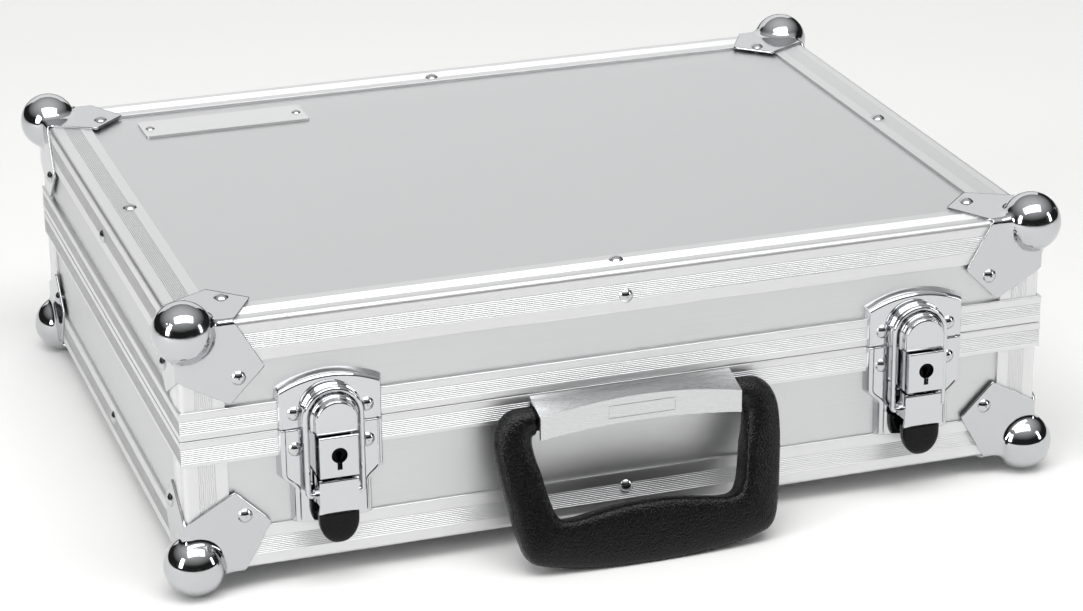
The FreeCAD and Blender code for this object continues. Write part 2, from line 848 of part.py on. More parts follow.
def grip_reach(inward):
    """How far below the pivot the tilted grip can go, at this depth, and stay off the floor."""
    tilt = math.radians(grip_tilt)
    room = grip_pivot_z + ball_r - ball_inset - grip_floor_gap
    return (room - inward * math.sin(tilt)) / math.cos(tilt)


def grip_profile():
    """Side view as (distance below the pivot, depth inward): round above, level underneath."""
    r = grip_hub_r
    half = grip_half_low
    inward = [vec(0, r, 0), vec(grip_mid_v, grip_half_mid, 0), vec(grip_low_v, half, 0)]
    outward = [vec(p.x, -p.y, 0) for p in reversed(inward)]
    lines = inward + [vec(grip_reach(half), half, 0), vec(grip_reach(-half), -half, 0)] + outward
    edges = [Part.LineSegment(a, b).toShape() for a, b in zip(lines, lines[1:])]
    edges.append(Part.Arc(lines[-1], vec(-r, 0, 0), lines[0]).toShape())
    return Part.Face(Part.Wire(edges))


def handle_grip():
    """Moulded D grip, drawn hanging straight down from its pivot, then tilted outward."""
    plan = [(p[0], -p[1]) + tuple(p[2:]) for p in grip_plan()]
    side = grip_profile().extrude(vec(0, 0, wide))
    side.translate(vec(0, 0, -wide / 2))
    side.rotate(vec(0, 0, 0), vec(0, 1, 0), 90)
    side.rotate(vec(0, 0, 0), vec(1, 0, 0), -90)
    body = prism(plan, -2 * grip_half_low, 2 * grip_half_low).common(side)
    inside = bracket_w / 2 - bracket_rib_in + grip_stub_in
    stubs = []
    pins = []
    for sign in (-1, 1):
        stubs.append(rod(grip_stub_r, vec(sign * inside, 0, 0), vec(sign * (grip_hub_x + 1), 0, 0)))
        pin_end = vec(sign * (grip_hub_x + 2), 0, 0)
        pins.append(rod(grip_pin_r + run_clear, vec(sign * (inside - 1), 0, 0), pin_end))
    body = body.fuse(stubs).cut(pins)
    body.rotate(vec(0, 0, 0), vec(1, 0, 0), -grip_tilt)
    body.translate(vec(0, grip_pivot_z, grip_pivot_out))
    return at_handle(body)


def grip_pins():
    inside = bracket_w / 2 - bracket_rib_in - bracket_t
    pins = []
    for sign in (-1, 1):
        start = vec(sign * inside, grip_pivot_z, grip_pivot_out)
        end = vec(sign * (grip_hub_x + 1), grip_pivot_z, grip_pivot_out)
        pins.append(at_handle(rod(grip_pin_r, start, end)))
    return pins


# ---- rear hinges ----------------------------------------------------------------------
def leaf_outline(band):
    """Leaf section as (outward, distance from the seam): flat, a joggle, then the knuckle."""
    low, t = -profile_t, hinge_leaf_t
    step = band + hinge_step_gap
    return [
        (low, hinge_leaf_low), (low + t, hinge_leaf_low), (low + t, step + hinge_step_h),
        (band_proud + t, step), (band_proud + t, hinge_seam_gap), (band_proud, hinge_seam_gap),
        (band_proud, step - 2 * hinge_step_gap), (low, step + hinge_step_h - 2 * hinge_step_gap),
    ]


def hinge_zones(lid):
    """Where along the hinge this leaf has its knuckles, and where it makes room for the other's."""
    half, zone, gap = hinge_w / 2, hinge_middle_w / 2, hinge_side_gap
    if lid:
        return [(-zone, zone)], [(-hinge_w, -zone), (zone, hinge_w)]
    return [(-half, -zone - gap), (zone + gap, half)], [(-zone - gap, zone + gap)]


def hinge_leaf(centre, lid):
    band = band_lid + seam_gap if lid else band_base
    up = 1 if lid else -1
    leaf = face_bar([(-o, up * h) for o, h in leaf_outline(band)], hinge_w)
    knuckles, cuts = hinge_zones(lid)
    barrels = [rod(hinge_knuckle_r, vec(a, 0, hinge_out), vec(b, 0, hinge_out)) for a, b in knuckles]
    leaf = leaf.fuse(barrels)
    reach = hinge_knuckle_r + hinge_clear
    rooms = [box(a, b, -reach, reach, -wide, wide) for a, b in cuts]
    behind = box(-wide, wide, min(0, -up * wide), max(0, -up * wide), -wide, band_proud)
    bore = hinge_pin_r + (run_clear if lid else 0)
    pin = rod(bore, vec(-hinge_w, 0, hinge_out), vec(hinge_w, 0, hinge_out))
    leaf = leaf.cut(rooms + [behind, pin])
    leaf.translate(vec(centre, seam_height, 0))
    return on_face(leaf, "rear")


def hinge_pin(centre):
    start = vec(centre - hinge_w / 2, seam_height, hinge_out)
    return on_face(rod(hinge_pin_r, start, vec(centre + hinge_w / 2, seam_height, hinge_out)), "rear")


# ---- lid plaque and foam --------------------------------------------------------------
def plaque():
    low = case_height - profile_t
    x0, y0 = plaque_x - plaque_w / 2, plaque_y - plaque_d / 2
    x1, y1 = x0 + plaque_w, y0 + plaque_d
    corners = [(x0, y0), (x1, y0), (x1, y1), (x0, y1)]
    return prism([c + (plaque_corner_r,) for c in corners], low, low + plaque_t)


def foam_half(side):
    return half_of(side) - inner_face - inner_leg_t - foam_clear


def foam_floor():
    x, y = foam_half("right"), foam_half("front")
    return box(-x, x, -y, y, inner_face, inner_face + foam_floor_t)


def foam_walls():
    """Four rim strips, one long divider and short dividers between them."""
    x, y = foam_half("right"), foam_half("front")
    t, low, high = foam_wall_t, inner_face + foam_floor_t, foam_wall_top
    half = foam_divider_t / 2
    strips = [box(-x, x, -y, t - y, low, high), box(-x, x, y - t, y, low, high)]
    strips += [box(-x, t - x, t - y, y - t, low, high), box(x - t, x, t - y, y - t, low, high)]
    strips.append(box(t - x, x - t, -half, half, low, high))
    pitch = 2 * (x - t) / foam_columns
    for k in range(1, foam_columns):
        middle = t - x + k * pitch
        strips.append(box(middle - half, middle + half, t - y, -half, low, high))
        strips.append(box(middle - half, middle + half, half, y - t, low, high))
    return strips


def foam_lid():
    x, y = foam_half("right"), foam_half("front")
    high = case_height - inner_face
    return box(-x, x, -y, y, high - foam_lid_t, high)


# ---- the assembly ---------------------------------------------------------------------
def base_nodes():
    holes = all_rivets(hole, False)
    nodes = {"base_bottom_panel": drilled(flat_panel(profile_t), holes)}
    for side in SIDES:
        wall = wall_panel(side, inner_face, seam_height - web_t)
        nodes[f"base_{side}_panel"] = drilled(wall, holes)
        nodes[f"base_{side}_edge_angle"] = drilled(edge_angle(side, False), holes)
    angles = corner_angles(profile_leg, seam_height - band_base)
    nodes["base_corner_angles"] = Part.makeCompound([drilled(a, holes) for a in angles])
    frame = [drilled(closure_bar(side, False), holes) for side in SIDES]
    nodes["base_closure_frame"] = Part.makeCompound(frame)
    corner = ball_corner().cut(Part.makeCompound(leaf_pieces(hole)))
    for name in CORNERS:
        nodes[f"ball_corner_base_{name}"] = at_corner(corner, name)
    nodes["base_rivets"] = Part.makeCompound(all_rivets(rivet, False))
    nodes["foam_tray_floor"] = foam_floor()
    nodes["foam_tray_walls"] = Part.makeCompound(foam_walls())
    return nodes


def lid_nodes():
    holes = all_rivets(hole, True) + plaque_rivets(hole)
    nodes = {"lid_top_panel": drilled(flat_panel(case_height - inner_face), holes)}
    for side in SIDES:
        wall = wall_panel(side, seam_height + seam_gap + web_t, case_height - inner_face)
        nodes[f"lid_{side}_panel"] = drilled(wall, holes)
        nodes[f"lid_{side}_edge_angle"] = drilled(edge_angle(side, True), holes)
    angles = corner_angles(seam_height + seam_gap + band_lid, case_height - profile_leg)
    nodes["lid_corner_angles"] = Part.makeCompound([drilled(a, holes) for a in angles])
    frame = [drilled(closure_bar(side, True), holes) for side in SIDES]
    nodes["lid_closure_frame"] = Part.makeCompound(frame)
    corner = ball_corner().cut(Part.makeCompound(leaf_pieces(hole)))
    for name in CORNERS:
        nodes[f"ball_corner_lid_{name}"] = at_corner(corner, name, True)
    nodes["lid_rivets"] = Part.makeCompound(all_rivets(rivet, True))
    nodes["plaque"] = drilled(plaque(), holes)
    nodes["plaque_rivets"] = Part.makeCompound(plaque_rivets(rivet))
    nodes["foam_lid_pad"] = foam_lid()
    return nodes


def latch_nodes():
    lid_holes = all_rivets(hole, True)
    base_holes = all_rivets(hole, False)
    nodes = {}
    pins = []
    for side, x in LATCHES.items():
        parts = {
            "keeper": keeper(), "latch_plate": latch_plate(), "lock_housing": lock_housing(),
            "lock_barrel": lock_barrel(), "lever": lever(), "thumb_tip": thumb_tip(), "bail": bail(),
        }
        for name, piece in parts.items():
            piece.translate(vec(x, 0, 0))
            nodes[f"{name}_{side}"] = on_face(piece, "front")
        nodes[f"keeper_{side}"] = drilled(nodes[f"keeper_{side}"], lid_holes)
        nodes[f"latch_plate_{side}"] = drilled(nodes[f"latch_plate_{side}"], base_holes)
        pin = lever_pin()
        pin.translate(vec(x, 0, 0))
        pins.append(on_face(pin, "front"))
    nodes["lever_pins"] = Part.makeCompound(pins)
    return nodes


def hinge_nodes():
    places = (-hinge_x, hinge_x)
    lid_holes = all_rivets(hole, True)
    base_holes = all_rivets(hole, False)
    base_leaves = [drilled(hinge_leaf(x, False), base_holes) for x in places]
    lid_leaves = [drilled(hinge_leaf(x, True), lid_holes) for x in places]
    return {
        "hinge_base_leaves": Part.makeCompound(base_leaves),
        "hinge_lid_leaves": Part.makeCompound(lid_leaves),
        "hinge_pins": Part.makeCompound([hinge_pin(x) for x in places]),
    }


def handle_nodes():
    return {
        "handle_bracket": handle_bracket(),
        "handle_grip": handle_grip(),
        "handle_pins": Part.makeCompound(grip_pins()),
    }


def case_shift(nodes):
    """Stand the whole case on z = 0 and put the middle of its box over the origin."""
    whole = FreeCAD.BoundBox()
    for shape in nodes.values():
        whole.add(shape.optimalBoundingBox())
    return vec(0, -(whole.YMin + whole.YMax) / 2, -whole.ZMin)


def main():
    os.makedirs("parts", exist_ok=True)
    nodes = {}
    for group in (base_nodes, lid_nodes, latch_nodes, hinge_nodes, handle_nodes):
        nodes.update(group())
    shift = case_shift(nodes)
    print("nodes", len(nodes), "case shift", round(shift.y, 3), round(shift.z, 3))
    for name, shape in nodes.items():
        shape.translate(shift)
        shape.exportStep(f"parts/{name}.step")


main()
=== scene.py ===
# %% [markdown]
# # An aluminium carry case, finished in Blender
# The case is laminated aluminium panels held in reeded aluminium profiles, with chromed
# ball corners, two keyed draw latches, a drop handle and foam inside. The CAD model
# already holds every size and joint. This file adds what the eye looks for: metals that
# reflect as the real ones do, pressed corners, hooks, a moulded grip and soft foam.
# Everything is in metres, in the CAD model's own frame, so nothing has to be fitted.

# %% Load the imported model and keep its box
import math

import bmesh
import bpy
import numpy as np
from mathutils import Euler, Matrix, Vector


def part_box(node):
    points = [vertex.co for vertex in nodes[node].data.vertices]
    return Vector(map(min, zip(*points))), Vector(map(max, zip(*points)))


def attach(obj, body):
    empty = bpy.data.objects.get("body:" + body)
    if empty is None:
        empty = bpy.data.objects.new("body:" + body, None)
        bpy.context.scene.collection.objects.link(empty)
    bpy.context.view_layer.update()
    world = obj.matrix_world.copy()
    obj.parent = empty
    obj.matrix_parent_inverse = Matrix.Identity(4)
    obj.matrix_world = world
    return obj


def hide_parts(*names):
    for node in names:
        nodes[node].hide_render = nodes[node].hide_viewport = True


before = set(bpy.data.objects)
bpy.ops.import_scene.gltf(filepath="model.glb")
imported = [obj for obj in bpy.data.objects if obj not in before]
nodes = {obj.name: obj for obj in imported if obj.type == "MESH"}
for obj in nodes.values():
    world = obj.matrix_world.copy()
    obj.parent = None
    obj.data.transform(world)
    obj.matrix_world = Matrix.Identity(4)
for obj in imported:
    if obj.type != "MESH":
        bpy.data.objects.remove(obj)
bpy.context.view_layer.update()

MM = 0.001

# %% [markdown]
# ## Colours and nodes
# Colours are written as the hex values a paint chart would give, which are sRGB. Cycles
# works with linear light, so one function turns them. One more function adds a shader
# node: settings first, then its inputs, where a socket is linked and a number is set.

# %% Two small helpers for materials
def linear(hex_colour):
    """sRGB hex to linear RGBA: c / 12.92 below 0.04045, else ((c + 0.055) / 1.055) ** 2.4."""
    channels = np.array([int(hex_colour[i:i + 2], 16) for i in (1, 3, 5)]) / 255
    low, high = channels / 12.92, ((channels + 0.055) / 1.055) ** 2.4
    return (*np.where(channels <= 0.04045, low, high).tolist(), 1.0)


def add(tree, kind, settings=None, **inputs):
    """Add one node. An input named in_0, in_1 is the socket of that number."""
    new = tree.nodes.new(kind)
    for name, value in (settings or {}).items():
        setattr(new, name, value)
    for name, value in inputs.items():
        key = int(name[3:]) if name.startswith("in_") else name.replace("_", " ")
        if isinstance(value, bpy.types.NodeSocket):
            tree.links.new(value, new.inputs[key])
        else:
            new.inputs[key].default_value = value
    return new


def finish_of(name):
    """A new material with its node tree and its Principled shader."""
    material = bpy.data.materials.new(name)
    material.use_nodes = True
    tree = material.node_tree
    return material, tree, tree.nodes["Principled BSDF"]


def ramp(tree, value, low, high, out_low, out_high):
    """Carry a value from the range low..high to out_low..out_high, clamped."""
    return add(
        tree, "ShaderNodeMapRange", None, Value=value,
        From_Min=low, From_Max=high, To_Min=out_low, To_Max=out_high,
    ).outputs["Result"]


def wear_the(material, *names):
    """Give this material to every slot of the named CAD nodes."""
    for name in names:
        for k in range(len(nodes[name].data.materials)):
            nodes[name].data.materials[k] = material
        if not nodes[name].data.materials:
            nodes[name].data.materials.append(material)


print("white is", [round(c, 3) for c in linear("#ffffff")])

# %% [markdown]
# ## Camera, floor and light
# The case is seen from its front left, from a little above, with a long lens, so its
# edges stay nearly parallel. Polished metal shows its surroundings more than itself: it
# needs large soft bright areas with something darker between them. An environment picture
# could give that, but it is one more file, and its bright areas can't be moved one by one.
# So the world is nearly black up to 20 degrees above the horizon and grows brighter from
# there, and four soft lights stand above the front, behind, and at the left and right.

# %% The camera
camera_data = bpy.data.cameras.new("camera")
camera_data.lens = 111.2
camera_data.sensor_width = 36.0
camera = bpy.data.objects.new("camera", camera_data)
camera.location = (-0.5186, -1.5932, 0.7261)
camera.rotation_euler = Euler([math.radians(a) for a in (68.438, 0.619, -18.527)])
bpy.context.scene.collection.objects.link(camera)
bpy.context.scene.camera = camera
bpy.context.scene.view_settings.view_transform = "Standard"
print("camera at", tuple(camera.location))

# %% The floor
floor_half = 6.0
floor_corners = [(x * floor_half, y * floor_half, 0.0) for x, y in ((-1, -1), (1, -1), (1, 1), (-1, 1))]
floor_mesh = bpy.data.meshes.new("floor")
floor_mesh.from_pydata(floor_corners, [], [(0, 1, 2, 3)])
floor = bpy.data.objects.new("floor", floor_mesh)
bpy.context.scene.collection.objects.link(floor)
paper, tree, shader = finish_of("studio_paper")
shader.inputs["Base Color"].default_value = linear("#fdfdfc")
shader.inputs["Roughness"].default_value = 0.9
shader.inputs["Specular IOR Level"].default_value = 0.2
floor_mesh.materials.append(paper)
print("floor half width", floor_half)

# %% The lights
def soft_light(name, place, aim, size, power):
    """A rectangular area light at place, turned so that its -Z axis points at aim."""
    data = bpy.data.lights.new(name, "AREA")
    data.shape = "RECTANGLE"
    data.size, data.size_y = size
    data.energy = power
    lamp = bpy.data.objects.new(name, data)
    lamp.location = place
    away = np.array(place) - np.array(aim)
    turn = math.atan2(away[0], -away[1])
    lean = math.atan2(math.hypot(away[0], away[1]), away[2])
    lamp.rotation_euler = Euler((lean, 0.0, turn))
    bpy.context.scene.collection.objects.link(lamp)


case_middle = (0.0, 0.0, 0.07)
soft_light("light_over", (-0.1, -0.8, 1.9), case_middle, (2.2, 1.0), 26.0)
soft_light("light_behind", (0.3, 2.6, 1.2), case_middle, (3.4, 1.6), 17.0)
soft_light("light_left", (-2.0, -0.9, 0.9), case_middle, (0.5, 1.2), 17.0)
soft_light("light_right", (1.9, -1.3, 0.8), case_middle, (0.35, 1.0), 7.0)

world = bpy.data.worlds.new("studio")
bpy.context.scene.world = world
world.use_nodes = True
tree = world.node_tree
direction = add(tree, "ShaderNodeTexCoord").outputs["Generated"]
split = add(tree, "ShaderNodeSeparateXYZ", None, Vector=direction)
level = ramp(tree, split.outputs["Z"], 0.35, 0.98, 0.02, 0.75)
tree.nodes["Background"].inputs["Color"].default_value = linear("#ffffff")
tree.links.new(level, tree.nodes["Background"].inputs["Strength"])

# %% [markdown]
# ## Rolled and brushed aluminium
# The panels are plywood with thin anodised aluminium on it, rolled and lightly brushed
# along the length of the sheet. The profiles are extruded, so the die leaves fine lines
# along them. Both are a satin metal with streaks in one direction, so one function makes
# them: noise that is stretched along the streak and fine across it, worked out from a
# real line spacing. It moves the roughness and the tint a little and gives a slight bump.
# A picture of brushed metal would need its own unwrapping on every piece. Noise on each
# piece's own coordinates runs the right way on all of them and never repeats.

# %% Streaked aluminium
def streaks(tree, along, spacing, length):
    """Noise whose cells are `length` metres along one axis and `spacing` across it.
    On a frame that runs round the case, "round" turns the axis with the face."""
    place = add(tree, "ShaderNodeTexCoord")
    fine, slow = 1 / spacing, 1 / length
    scales = {"x": (slow, fine, fine), "y": (fine, slow, fine), "z": (fine, fine, slow)}
    if along != "round":
        stretched = add(
            tree, "ShaderNodeMapping", None,
            Vector=place.outputs["Object"], Scale=scales[along],
        ).outputs["Vector"]
        return add(
            tree, "ShaderNodeTexNoise", None,
            Vector=stretched, Scale=1.0, Detail=3.0, Roughness=0.6,
        ).outputs["Fac"]
    normal = add(tree, "ShaderNodeSeparateXYZ", None, Vector=place.outputs["Normal"])
    sideways = add(tree, "ShaderNodeMath", {"operation": "ABSOLUTE"}, in_0=normal.outputs["X"])
    is_side = add(tree, "ShaderNodeMath", {"operation": "GREATER_THAN"}, in_0=sideways.outputs[0], in_1=0.5)
    both = [streaks(tree, axis, spacing, length) for axis in ("x", "y")]
    return add(
        tree, "ShaderNodeMix", {"data_type": "FLOAT"},
        in_0=is_side.outputs[0], in_2=both[0], in_3=both[1],
    ).outputs[0]


def streaked_metal(name, along, tint_low, tint_high, rough, spacing, length, bump):
    """Satin aluminium: tint between two greys, roughness about `rough`, streaks one way."""
    material, tree, shader = finish_of(f"{name}_{along}")
    line = streaks(tree, along, spacing, length)
    tint = add(
        tree, "ShaderNodeMix", {"data_type": "RGBA"},
        in_0=line, in_6=linear(tint_low), in_7=linear(tint_high),
    )
    tree.links.new(tint.outputs[2], shader.inputs["Base Color"])
    tree.links.new(ramp(tree, line, 0.3, 0.7, rough - 0.06, rough + 0.08), shader.inputs["Roughness"])
    relief = add(tree, "ShaderNodeBump", None, Strength=bump, Distance=0.00005, Height=line)
    tree.links.new(relief.outputs["Normal"], shader.inputs["Normal"])
    shader.inputs["Metallic"].default_value = 1.0
    return material


brush_spacing, die_spacing = 0.35 * MM, 0.45 * MM  # coarser than real marks, to show at all
sheet = {
    a: streaked_metal("anodised_sheet", a, "#cbcccd", "#dededf", 0.40, brush_spacing, 0.09, 0.25)
    for a in ("x", "y")
}
profile = {
    a: streaked_metal("extruded_profile", a, "#dcddde", "#ececec", 0.42, die_spacing, 0.4, 0.08)
    for a in ("x", "y", "z", "round")
}
for half in ("base", "lid"):
    for side, along in (("front", "x"), ("rear", "x"), ("left", "y"), ("right", "y")):
        wear_the(sheet[along], f"{half}_{side}_panel")
        wear_the(profile[along], f"{half}_{side}_edge_angle")
    wear_the(profile["z"], f"{half}_corner_angles")
    wear_the(profile["round"], f"{half}_closure_frame")
wear_the(sheet["x"], "base_bottom_panel", "lid_top_panel")
print("aluminium finishes", len(sheet) + len(profile))

# %% [markdown]
# ## Chrome and nickel
# The corners and latches are pressed steel with a bright chrome plate. Chrome is almost a
# mirror, so its look is the shape it has and small faults: a slow waviness that the press
# leaves, faint wipe marks that make it a little rougher, and no colour of its own. Rivets
# are nickel plated and a little softer. One perfect mirror for all of them would be
# simpler, but it looks computed, so the faults are noise at the size they really have.

# %% Plated metals
def plated_metal(name, tint, rough, wipe, wave, wave_size):
    """Polished plate: roughness rises by `wipe` in soft patches, and a slow wave bends it."""
    material, tree, shader = finish_of(name)
    place = add(tree, "ShaderNodeTexCoord").outputs["Object"]
    smear = add(tree, "ShaderNodeTexNoise", None, Vector=place, Scale=90.0, Detail=4.0, Distortion=1.2)
    wiped = ramp(tree, smear.outputs["Fac"], 0.45, 0.75, rough, rough + wipe)
    tree.links.new(wiped, shader.inputs["Roughness"])
    slow = add(tree, "ShaderNodeTexNoise", None, Vector=place, Scale=1 / wave_size, Detail=1.0)
    relief = add(tree, "ShaderNodeBump", None, Strength=wave, Distance=0.001, Height=slow.outputs["Fac"])
    tree.links.new(relief.outputs["Normal"], shader.inputs["Normal"])
    shader.inputs["Base Color"].default_value = linear(tint)
    shader.inputs["Metallic"].default_value = 1.0
    return material


corner_chrome = plated_metal("chromed_corner_steel", "#c4c5c7", 0.06, 0.10, 0.05, 0.012)
latch_chrome = plated_metal("chromed_latch_steel", "#cccdcf", 0.05, 0.08, 0.04, 0.010)
rivet_nickel = plated_metal("nickel_plated_rivet", "#c6c7c9", 0.12, 0.12, 0.03, 0.004)
hinge_zinc = plated_metal("zinc_plated_steel", "#b9bcc2", 0.30, 0.15, 0.03, 0.006)
pin_steel = plated_metal("ground_pin_steel", "#b4b4b6", 0.22, 0.10, 0.02, 0.004)
# The lock barrel is coloured near black. This is painted shade, as dark as the shade inside its keyway, laid
# over the whole barrel, which is bright nickel-plated brass.
barrel_in_painted_shade = plated_metal("lock_barrel_painted_shade", "#141415", 0.42, 0.15, 0.03, 0.004)

for half in ("base", "lid"):
    for corner in ("front_left", "front_right", "rear_right", "rear_left"):
        wear_the(corner_chrome, f"ball_corner_{half}_{corner}")
    wear_the(rivet_nickel, f"{half}_rivets")
latch_parts = ("keeper", "latch_plate", "lock_housing", "lever", "bail")
for side in ("left", "right"):
    wear_the(latch_chrome, *(f"{part}_{side}" for part in latch_parts))
    wear_the(barrel_in_painted_shade, f"lock_barrel_{side}")
wear_the(rivet_nickel, "plaque_rivets")
wear_the(hinge_zinc, "hinge_base_leaves", "hinge_lid_leaves")
wear_the(pin_steel, "hinge_pins", "lever_pins", "handle_pins")
print("plated finishes on corners, latches, rivets, hinges and pins")

# %% [markdown]
# ## Handle cover, plaque and plastics
# The handle cover and the plaque are aluminium strip, brushed along their length and
# lacquered. The grip is moulded plastic with a pebbled grain, the lever tips are smooth
# glossy vinyl, and the foam is a dark open cell foam that takes the light softly. Grain
# and cells could be modelled, but they are under a millimetre, so they are bumps on
# rounded cells of that size, which also move the roughness. On the foam the colour also
# carries painted shade: darker in the pit of each cell, lighter at its rim.

# %% The rest of the finishes
cover_metal = streaked_metal("brushed_cover", "x", "#c6c7c8", "#d9dadb", 0.28, 0.4 * MM, 0.02, 0.5)
plaque_metal = streaked_metal("brushed_plaque", "x", "#d5d6d7", "#eeeeee", 0.34, 0.3 * MM, 0.02, 0.3)
for lacquered in (cover_metal, plaque_metal):
    clear = lacquered.node_tree.nodes["Principled BSDF"]
    clear.inputs["Coat Weight"].default_value = 0.25
    clear.inputs["Coat Roughness"].default_value = 0.2

vinyl, tree, shader = finish_of("glossy_black_vinyl")
place = add(tree, "ShaderNodeTexCoord").outputs["Object"]
skin = add(tree, "ShaderNodeTexNoise", None, Vector=place, Scale=700.0, Detail=3.0)
relief = add(tree, "ShaderNodeBump", None, Strength=0.12, Distance=0.0002, Height=skin.outputs["Fac"])
tree.links.new(relief.outputs["Normal"], shader.inputs["Normal"])
tree.links.new(ramp(tree, skin.outputs["Fac"], 0.3, 0.7, 0.16, 0.30), shader.inputs["Roughness"])
shader.inputs["Base Color"].default_value = linear("#050506")
shader.inputs["IOR"].default_value = 1.5
shader.inputs["Specular IOR Level"].default_value = 0.18

pebbled, tree, shader = finish_of("pebbled_black_plastic")
place = add(tree, "ShaderNodeTexCoord").outputs["Object"]
pebble_spacing = 0.9 * MM
pebble = add(
    tree, "ShaderNodeTexVoronoi", {"feature": "SMOOTH_F1"},
    Vector=place, Scale=1 / pebble_spacing, Smoothness=0.6,
)
relief = add(
    tree, "ShaderNodeBump", {"invert": True},
    Strength=0.7, Distance=0.0004, Height=pebble.outputs["Distance"],
)
tree.links.new(relief.outputs["Normal"], shader.inputs["Normal"])
tree.links.new(ramp(tree, pebble.outputs["Distance"], 0.0, 0.6, 0.16, 0.34), shader.inputs["Roughness"])
shader.inputs["Base Color"].default_value = linear("#050506")
shader.inputs["IOR"].default_value = 1.46
shader.inputs["Specular IOR Level"].default_value = 0.35

foam_skin, tree, shader = finish_of("open_cell_foam")
place = add(tree, "ShaderNodeTexCoord").outputs["Object"]
cell = add(tree, "ShaderNodeTexVoronoi", None, Vector=place, Scale=1 / (1.1 * MM))
# Painted shade: each foam cell is coloured darker towards its pit, where the bump is lowest, and lighter at its
# rim.
shade = add(
    tree, "ShaderNodeMix", {"data_type": "RGBA"},
    in_0=ramp(tree, cell.outputs["Distance"], 0.1, 0.7, 0.0, 1.0),
    in_6=linear("#17181a"), in_7=linear("#3d3f43"),
)
tree.links.new(shade.outputs[2], shader.inputs["Base Color"])
relief = add(tree, "ShaderNodeBump", None, Strength=0.7, Distance=0.0004, Height=cell.outputs["Distance"])
tree.links.new(relief.outputs["Normal"], shader.inputs["Normal"])
shader.inputs["Roughness"].default_value = 0.95
shader.inputs["Sheen Weight"].default_value = 0.15

wear_the(cover_metal, "handle_bracket")
wear_the(plaque_metal, "plaque")
wear_the(vinyl, "thumb_tip_left", "thumb_tip_right")
wear_the(pebbled, "handle_grip")
wear_the(foam_skin, "foam_tray_floor", "foam_tray_walls", "foam_lid_pad")
print("materials", len(bpy.data.materials))

# %% [markdown]
# ## Making a piece from a surface
# Each new piece is a surface worked out as whole arrays: a grid of points, where one
# parameter runs along the piece and the other across it. A grid may close on itself. One
# function turns such grids into a mesh, welds what meets, and turns the faces outwards.
# Another gives the mesh its body, its finish and the CAD node that it stands for, and a
# third does so for a pressed sheet, which is drawn as its outer face and then thickened.

# %% Grids to mesh, and mesh to piece
def grid_faces(rows, columns, start, round_rows=False, round_columns=False):
    """Quads between neighbouring grid points: (i, j), (i+1, j), (i+1, j+1), (i, j+1)."""
    i = np.arange(rows if round_rows else rows - 1)
    j = np.arange(columns if round_columns else columns - 1)
    i, j = np.meshgrid(i, j, indexing="ij")
    after_i, after_j = (i + 1) % rows, (j + 1) % columns
    corners = [(i, j), (after_i, j), (after_i, after_j), (i, after_j)]
    return np.stack([start + a * columns + b for a, b in corners], -1).reshape(-1, 4)


def mesh_of(name, grids, outward=None, weld=0.00002):
    """Join grids (points, rows close, columns close) into one mesh with welded seams. An
    open sheet has no inside, so `outward` says which way it should face."""
    points = np.concatenate([g[0].reshape(-1, 3) for g in grids])
    starts = np.cumsum([0] + [g[0].shape[0] * g[0].shape[1] for g in grids])
    faces = np.concatenate([grid_faces(*g[0].shape[:2], start, *g[1:]) for g, start in zip(grids, starts)])
    mesh = bpy.data.meshes.new(name)
    mesh.from_pydata(points.tolist(), [], faces.tolist())
    work = bmesh.new()
    work.from_mesh(mesh)
    bmesh.ops.remove_doubles(work, verts=work.verts, dist=weld)
    bmesh.ops.dissolve_degenerate(work, edges=work.edges, dist=weld / 4)
    bmesh.ops.recalc_face_normals(work, faces=work.faces)
    facing = sum((f.normal * f.calc_area() for f in work.faces), Vector())
    if outward is not None and facing.dot(Vector(outward)) < 0:
        bmesh.ops.reverse_faces(work, faces=work.faces)
    work.to_mesh(mesh)
    work.free()
    mesh.shade_smooth()
    return mesh


def place_piece(mesh, body, material, slot, *stands_for):
    """Make the mesh an object that rides on a body, in place of the CAD nodes named."""
    piece = bpy.data.objects.new(mesh.name, mesh)
    bpy.context.scene.collection.objects.link(piece)
    mesh.materials.append(material)
    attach(piece, body)
    if stands_for:
        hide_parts(*stands_for)
    print(piece.name, len(mesh.polygons), "faces")
    return piece


def place_sheet(thickness, mesh, *how):
    """Place a piece that is drawn as its outer face, with its thickness in mm behind it."""
    wall = place_piece(mesh, *how).modifiers.new("sheet", "SOLIDIFY")
    wall.thickness, wall.offset = thickness * MM, -1.0


def bend(points, steps, closed=False):
    """Smooth curve over control points: from midpoint to midpoint, pulled to the point
    between them, (1-t)^2 a + 2t(1-t) p + t^2 b. Open curves start and end on their ends."""
    p = np.asarray(points, float)
    before, after = np.roll(p, 1, 0), np.roll(p, -1, 0)
    a, b = (before + p) / 2, (p + after) / 2
    if not closed:
        p, a, b = p[1:-1], a[1:-1].copy(), b[1:-1].copy()
        a[0], b[-1] = points[0], points[-1]
    t = np.linspace(0, 1, steps, endpoint=False)[None, :, None]
    curve = (1 - t) ** 2 * a[:, None] + 2 * t * (1 - t) * p[:, None] + t ** 2 * b[:, None]
    curve = curve.reshape(-1, p.shape[1])
    return curve if closed else np.vstack([curve, b[-1:]])


def soft_min(a, b, width):
    """The smaller of two values, with the corner between them rounded over `width`:
    min(a, b) - max(width - |a - b|, 0)^2 / (4 width)."""
    return np.minimum(a, b) - np.maximum(width - np.abs(a - b), 0) ** 2 / (4 * width)


print("helpers ready")

# %% [markdown]
# ## Where the front is
# The latches and the handle are measured from the case's front face and from the seam
# between lid and base. Both come from the CAD nodes: the face is the outside of the edge
# profile, and the seam is the top of the base's closure profile.

# %% Front face and seam
face_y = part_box("lid_front_edge_angle")[0].y
seam_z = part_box("base_closure_frame")[1].z


